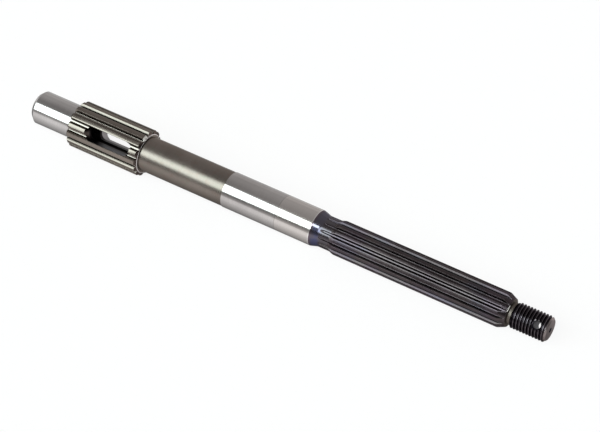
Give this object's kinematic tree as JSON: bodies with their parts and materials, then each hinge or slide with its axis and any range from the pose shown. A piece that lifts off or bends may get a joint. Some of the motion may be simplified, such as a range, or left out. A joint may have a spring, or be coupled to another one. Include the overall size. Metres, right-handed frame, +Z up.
{
  "type": "propeller shaft",
  "caption": "Solid steel output shaft with a slotted clutch spline near one end, a ground bearing seat, a propeller spline and a threaded end with a cross hole for a cotter pin.",
  "frame": {"origin": "on the shaft's axis, in the middle of the ground bearing seat", "axes": "+X along the shaft towards its threaded end, +Z up as the shaft lies; the cross slot leans 52.6 degrees from +Z towards -Y"},
  "size_m": [0.2671, 0.0222, 0.0222],
  "materials": {
    "shaft_steel": "ground on the seat and the journal, dark and hardened on the splines and the thread"
  },
  "bodies": {
    "root": {"propeller_shaft": "shaft_steel"}
  },
  "joints": []
}
